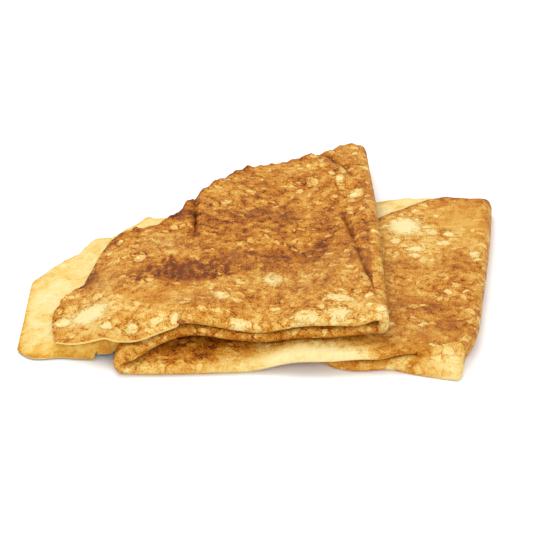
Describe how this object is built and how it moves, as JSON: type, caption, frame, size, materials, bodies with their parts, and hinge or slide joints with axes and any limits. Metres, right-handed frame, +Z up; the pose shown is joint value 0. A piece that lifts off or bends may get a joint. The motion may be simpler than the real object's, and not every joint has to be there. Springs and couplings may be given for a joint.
{
  "type": "folded salted caramel crepe",
  "caption": "A large thin crepe folded in half and then to and fro into a loose flat parcel, browned outside and pale inside, lying as served.",
  "frame": {"origin": "the middle of the footprint, on the surface that the crepe lies on", "axes": "+Z is up, +X runs along the front roll towards the right-hand turn, and +Y runs from the front roll towards the open rims at the back"},
  "size_m": [0.1508, 0.1388, 0.0152],
  "materials": {
    "browned_crepe": "griddled batter, lacy golden brown on the outer face and pale cream yellow on the inner face, with a faint buttery sheen"
  },
  "bodies": {
    "root": {"crepe": "browned_crepe"}
  },
  "joints": []
}
